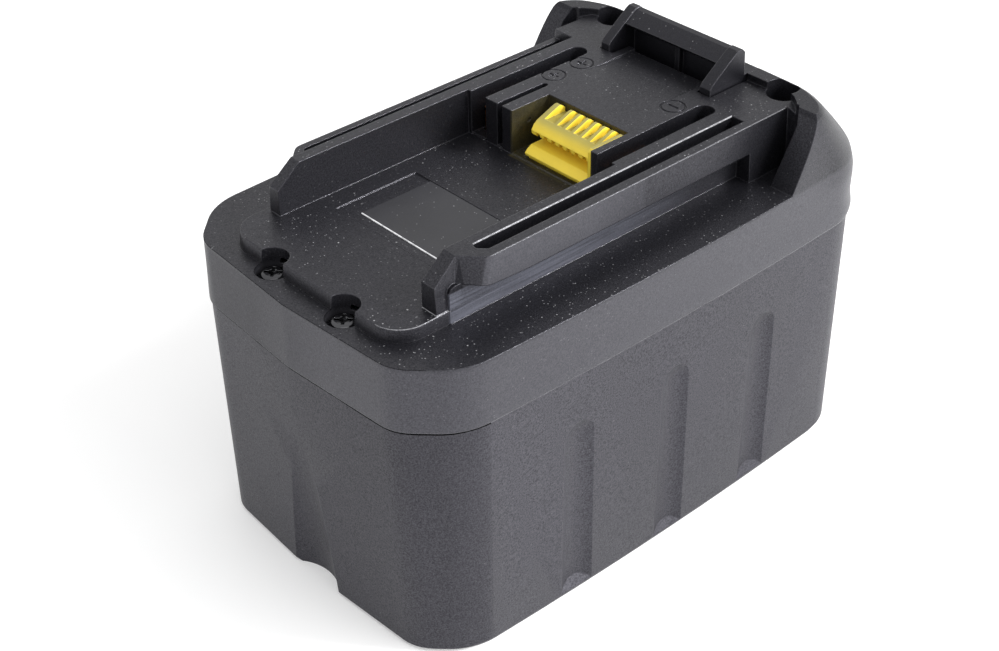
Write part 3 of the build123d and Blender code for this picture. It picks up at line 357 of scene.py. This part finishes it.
# ------------------------------------------------------------------ materials
def lid_marks(m, col):
    """Brownish film in the connector's pocket."""
    x, y, z = m.place()[0:3]
    box = m.math("MULTIPLY", m.within(x, -0.0008, 0.0112, 0.0003), m.within(y, -0.0152, 0.0089, 0.0003))
    box = m.math("MULTIPLY", box, m.within(z, 0.0735, 0.0848, 0.0002))
    patch = m.maprange(m.noise(420.0, 3.0, 0.6), 0.35, 0.65, 0.45, 1.0)
    wall = m.math("SUBTRACT", 1.0, m.up(), clamp=True)
    # the lid's walls below the ledge get a lighter colour than its tops: painted light
    outer = m.math("MULTIPLY", wall, m.within(z, 0.0560, 0.0708, 0.0010))
    col = m.mix(m.math("MULTIPLY", outer, 0.75), col, (0.036, 0.0355, 0.041))
    col = m.mix(m.math("MULTIPLY", box, patch), col, (0.044, 0.038, 0.016))
    # a black line along the ledge's front edge: painted shade, made duller there as well
    front = m.box((-0.0800, -0.0480), (-0.0345, 0.0500), (0.07110, 0.07180))
    front = m.math("MULTIPLY", front, m.edge(0.0003, 9.0)[0])
    col = m.mix(front, col, (0.003, 0.003, 0.0035))
    # the undercut webs get a lighter bluish grey, strongest at the front and fading out towards the stop at the rear:
    # painted light; the streaks along their length are rubbing by the tool's rails
    ay = m.math("ABSOLUTE", y)
    web_light_and_scuffs = m.math("MULTIPLY", m.within(ay, 0.0264, 0.0274, 0.0001), m.within(z, 0.0718, 0.0783, 0.0001))
    web_light_and_scuffs = m.math("MULTIPLY", web_light_and_scuffs, m.math("GREATER_THAN", x, -0.04830))
    web_light_and_scuffs = m.math("MULTIPLY", web_light_and_scuffs, m.within(x, -0.0600, -0.012, 0.030))
    streak = m.maprange(m.noise(1700.0, 3.0, 0.65, vec=m.along_x(0.03)), 0.30, 0.70, 0.25, 1.0)
    col = m.mix(m.math("MULTIPLY", web_light_and_scuffs, streak), col, (0.100, 0.104, 0.128))
    # lighter lines along near-side edges only, the slots' inner edge, the near strip's outer edge, the plateau's near
    # corner: partly rubbed wear, partly painted highlight
    chip = m.maprange(m.noise(900.0, 3.0, 0.7), 0.30, 0.52, 0.25, 1.0)
    line = m.box((-0.0402, 0.0314), (-0.02480, -0.02450), (0.08480, 0.08510), 0.00006)
    strip = m.box((-0.0450, 0.0420), (-0.03022, -0.02992), (0.08488, 0.08510), 0.00005)
    lip = m.box((-0.0640, -0.0475), (-0.0330, -0.0205), (0.07445, 0.07470), 0.00006)
    rim = m.math("MULTIPLY", lip, m.edge(0.0003, 9.0)[0])
    rub_and_painted_highlight = m.math("MAXIMUM", m.math("MULTIPLY", line, 0.85), m.math("MULTIPLY", strip, 0.22))
    rub_and_painted_highlight = m.math("MULTIPLY", m.math("MAXIMUM", rub_and_painted_highlight, m.math("MULTIPLY", rim, 0.9)), chip)
    col = m.mix(rub_and_painted_highlight, col, (0.42, 0.42, 0.44))
    # the rim's flat top is duller
    dull = m.math("MULTIPLY", m.within(z, 0.0857, 0.0880, 0.0002), 0.30)
    side = m.math("MULTIPLY", m.within(z, 0.0690, 0.0840, 0.0030), m.within(x, 0.0480, 0.0900, 0.0080))
    dull = m.math("MAXIMUM", dull, m.math("MULTIPLY", side, 0.38))
    left = m.math("MULTIPLY", outer, m.math("MULTIPLY", m.within(x, -0.0800, -0.0560, 0.0060), m.within(y, 0.0120, 0.0600, 0.0240)))
    dull = m.math("MAXIMUM", dull, m.math("MULTIPLY", left, 0.62))
    # flange: its near outer face gets a lighter grey towards the front, fading out towards the rear: painted light;
    # its skew front face stays black
    face = m.box((-0.0600, -0.0150), (-0.0320, -0.0297), (0.0784, 0.0847), 0.0002)
    face = m.math("MULTIPLY", m.math("MULTIPLY", face, wall), m.math("GREATER_THAN", x, -0.0448))
    far = m.math("MULTIPLY", m.box((-0.0150, 0.0000), (-0.0320, -0.0297), (0.0784, 0.0847), 0.0002), wall)
    far = m.math("MULTIPLY", far, m.maprange(x, -0.0150, 0.0080, 1.0, 0.0))
    face = m.math("MAXIMUM", face, m.math("MAXIMUM", far, 0.0))
    col = m.mix(m.math("MULTIPLY", face, 0.8), col, (0.040, 0.040, 0.046))
    skew = m.box((-0.0520, -0.0450), (-0.0299, -0.0262), (0.0784, 0.0847), 0.0002)
    dull = m.math("MAXIMUM", dull, m.math("MULTIPLY", skew, 0.55))
    dull = m.math("MAXIMUM", dull, m.math("MULTIPLY", front, 0.9))
    return col, dull


def tub_marks(m, col):
    """Painted shade as a black band in the seam under the lid on the ends, a lighter band there on the long sides as
    painted highlight, and faint scuffs.
    """
    x, y, z = m.place()[0:3]
    # the band along the top of the tub: black on the ends as painted shade, lighter on the long sides as painted
    # highlight
    wob = m.maprange(m.noise(160.0, 2.0, 0.6), 0.3, 0.7, 0.0, 0.00016)
    low = m.math("SUBTRACT", 0.05668, wob)
    seam_painted_shade = m.math("GREATER_THAN", z, low)
    long_side = m.math("MULTIPLY", m.math("GREATER_THAN", m.math("ABSOLUTE", y), 0.0388), m.math("GREATER_THAN", x, -0.0500))
    seam_painted_highlight = m.math("MULTIPLY", m.within(z, 0.05684, 0.0571, 0.00004), long_side)
    seam_painted_shade = m.math("MULTIPLY", seam_painted_shade, m.math("SUBTRACT", 1.0, long_side))
    scuff = m.maprange(m.noise(300.0, 6.0, 0.75, dist=1.5), 0.70, 0.78, 0.0, 0.35)
    col = m.mix(m.math("MAXIMUM", scuff, 0.0), col, (0.06, 0.06, 0.064))
    # the lighter band on the long sides: painted highlight
    col = m.mix(m.math("MULTIPLY", seam_painted_highlight, m.maprange(m.noise(240.0, 2.0, 0.6), 0.35, 0.6, 0.1, 0.8)), col, (0.13, 0.13, 0.138))
    front = m.math("MULTIPLY", m.within(x, -0.0800, -0.0520, 0.0060), 0.20)
    dark = m.math("MAXIMUM", m.math("MULTIPLY", seam_painted_shade, 0.96), front)
    # the long sides are a little shinier towards the front, where hands hold the pack
    held = m.math("MAXIMUM", m.math("MINIMUM", m.maprange(x, -0.0580, -0.0050, -0.30, 0.09), 0.09), -0.30)
    dark = m.math("ADD", dark, m.math("MULTIPLY", held, long_side))
    # the seam's black: painted shade
    return m.mix(seam_painted_shade, col, (0.002, 0.002, 0.002)), dark


LID = moulded("lid_black", (0.0065, 0.0065, 0.0082), (0.055, 0.055, 0.062), rough=0.40, grain=0.38, dust=1.0, spec=0.5,
              glint_amp=0.42, special=lid_marks)
TUB = moulded("tub_charcoal", (0.0205, 0.0199, 0.0242), (0.060, 0.059, 0.066), rough=0.48, grain=0.48, dust=0.30, spec=0.48,
              glint_amp=0.70, special=tub_marks)
LATCH = moulded("latch_black", (0.0050, 0.0050, 0.0066), (0.09, 0.09, 0.098), rough=0.42, grain=0.26, dust=0.5, spec=0.40,
                glint_amp=0.18)
YELLOW = yellow("yellow_moulding", (0.95, 0.72, 0.062), (0.31, 0.268, 0.068))
FILM = film("film_dark", (0.024, 0.024, 0.028))
SCREW_BLACK = plain("screw_black", (0.085, 0.085, 0.09), rough=0.12, metal=1.0, scale=1500.0, grain=1.0, edge=1.0)
SCREW_BRIGHT = plain("screw_bright", (0.55, 0.55, 0.56), rough=0.30, metal=1.0, scale=1200.0, grain=0.08)
COPPER = plain("contact_copper", (0.36, 0.16, 0.07), rough=0.30, metal=1.0, scale=800.0, grain=0.06)
STEEL = plain("spring_wire", (0.55, 0.55, 0.57), rough=0.28, metal=1.0, scale=1500.0, grain=0.06)
INNER = plain("inner_black", (0.05, 0.05, 0.055), rough=0.55)
BOARD = plain("board_green", (0.02, 0.14, 0.07), rough=0.35, scale=600.0, grain=0.05, coat=0.3)
CHIP = plain("chip_black", (0.02, 0.02, 0.022), rough=0.45, scale=1800.0)
FUSE = plain("fuse_pale", (0.55, 0.52, 0.45), rough=0.4)
BEAD = plain("bead_dark", (0.04, 0.04, 0.05), rough=0.3)
SLEEVE = plain("cell_sleeve", (0.05, 0.22, 0.18), rough=0.28, scale=300.0, grain=0.05, coat=0.4)
PAPER = plain("ring_paper", (0.68, 0.65, 0.55), rough=0.8, scale=1500.0, grain=0.3)
NICKEL = plain("nickel_strip", (0.58, 0.56, 0.52), rough=0.3, metal=1.0, scale=900.0)
SHEET = plain("fish_paper", (0.42, 0.45, 0.38), rough=0.7, scale=1200.0, grain=0.25)
FLEX = plain("flex_amber", (0.55, 0.27, 0.05), rough=0.3, scale=700.0)
FOAM = plain("foam_black", (0.03, 0.03, 0.03), rough=0.95, scale=1400.0, grain=0.8)

by_node = {
    "upper_case": LID, "lower_case": TUB, "release_latch": LATCH, "signal_connector": YELLOW, "blank_label": FILM,
    "case_screws_front": SCREW_BLACK, "case_screws_rear": SCREW_BLACK, "bracket_screws": SCREW_BRIGHT,
    "board_screws": SCREW_BRIGHT, "signal_pins": COPPER, "terminal_positive": COPPER, "terminal_negative": COPPER,
    "terminal_charge": COPPER, "latch_spring_left": STEEL, "latch_spring_right": STEEL, "latch_bracket": INNER,
    "control_board": BOARD, "board_chips": CHIP, "power_transistors": CHIP, "fuse": FUSE, "thermistor": BEAD,
    "cells_left_row": SLEEVE, "cells_middle_row": SLEEVE, "cells_right_row": SLEEVE, "cell_insulator_rings": PAPER,
    "cell_holder_lower": INNER, "cell_holder_upper": INNER, "straps_bottom": NICKEL, "straps_top": NICKEL,
    "insulator_bottom": SHEET, "insulator_top": SHEET, "bus_bar_positive": COPPER, "bus_bar_negative": COPPER,
    "sense_flex": FLEX, "foam_pads": FOAM,
}
for name, o in nodes.items():
    mat = by_node[name]
    if o.data.materials:
        for i in range(len(o.data.materials)):
            o.data.materials[i] = mat
    else:
        o.data.materials.append(mat)

# ------------------------------------------------------------------ latch springs
# The springs are made again here as helical tubes in place of the CAD springs, which are hidden:
# their places and sizes are the CAD springs'.
def coil(name, node, r_wire=0.00035, turns=6.0, around=28, sides=12):
    lo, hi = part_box(node)
    cx, cy = (lo[0] + hi[0]) / 2, (lo[1] + hi[1]) / 2
    r = (hi[0] - lo[0]) / 2 - r_wire
    z0, z1 = lo[2] + r_wire, hi[2] - r_wire
    n = int(turns * around)
    verts, faces = [], []
    for i in range(n + 1):
        a = 2 * math.pi * turns * i / n
        c = Vector((cx + r * math.cos(a), cy + r * math.sin(a), z0 + (z1 - z0) * i / n))
        out = Vector((math.cos(a), math.sin(a), 0.0))
        for k in range(sides):
            b = 2 * math.pi * k / sides
            verts.append(c + out * (r_wire * math.cos(b)) + Vector((0, 0, 1)) * (r_wire * math.sin(b)))
    for i in range(n):
        for k in range(sides):
            p, q = i * sides + k, i * sides + (k + 1) % sides
            faces.append((p, p + sides, q + sides, q))
    faces.append(tuple(range(sides)))
    faces.append(tuple(n * sides + k for k in reversed(range(sides))))
    mesh = bpy.data.meshes.new(name)
    mesh.from_pydata([tuple(v) for v in verts], [], faces)
    for poly in mesh.polygons:
        poly.use_smooth = len(poly.vertices) == 4
    mesh.materials.append(STEEL)
    mesh.update()
    o = bpy.data.objects.new(name, mesh)
    scene.collection.objects.link(o)
    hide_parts(node)
    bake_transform(o)
    return o


coil("spring_coil_left", "latch_spring_left")
coil("spring_coil_right", "latch_spring_right")

# ------------------------------------------------------------------ floor, light
floor_mat = Mat("floor_pale")
fn = floor_mat.noise(3.0, 3.0, 0.5)
floor_mat.link(floor_mat.mix(fn, (0.86, 0.86, 0.86), (0.89, 0.89, 0.89)), floor_mat.b.inputs["Base Color"])
floor_mat.b.inputs["Roughness"].default_value = 0.9
floor_mat.b.inputs["Emission Color"].default_value = (1.0, 1.0, 1.0, 1.0)
floor_mat.b.inputs["Emission Strength"].default_value = 0.20
floor_mat.b.inputs["Specular IOR Level"].default_value = 0.2
me = bpy.data.meshes.new("floor")
S = 6.0
me.from_pydata([(-S, -S, 0), (S, -S, 0), (S, S, 0), (-S, S, 0)], [], [(0, 1, 2, 3)])
floor = bpy.data.objects.new("floor", me)
scene.collection.objects.link(floor)
me.materials.append(floor_mat.m)

world = bpy.data.worlds.new("world")
scene.world = world
world.use_nodes = True
bg = world.node_tree.nodes["Background"]
bg.inputs["Color"].default_value = (1.0, 1.0, 1.0, 1)
bg.inputs["Strength"].default_value = 0.92


def area(name, loc, target, size, power, size_y=None):
    d = bpy.data.lights.new(name, "AREA")
    d.energy = power
    d.shape = "RECTANGLE"
    d.size = size
    d.size_y = size_y or size
    o = bpy.data.objects.new(name, d)
    scene.collection.objects.link(o)
    v = Vector(target) - Vector(loc)
    o.matrix_world = Matrix.Translation(loc) @ v.to_track_quat("-Z", "Y").to_matrix().to_4x4()
    return o


area("edge_light", (0.78, -0.84, 0.94), (0, 0, 0.06), 0.34, 15.0)
area("near_panel", (0.34, -1.06, 0.42), (0, 0, 0.05), 0.8, 9.0, 0.4)
area("key_over_camera", (-0.55, -0.75, 1.25), (0, 0, 0.0), 1.1, 2.0)

scene.view_settings.view_transform = "Standard"
scene.view_settings.look = "None"
scene.view_settings.exposure = 0.0
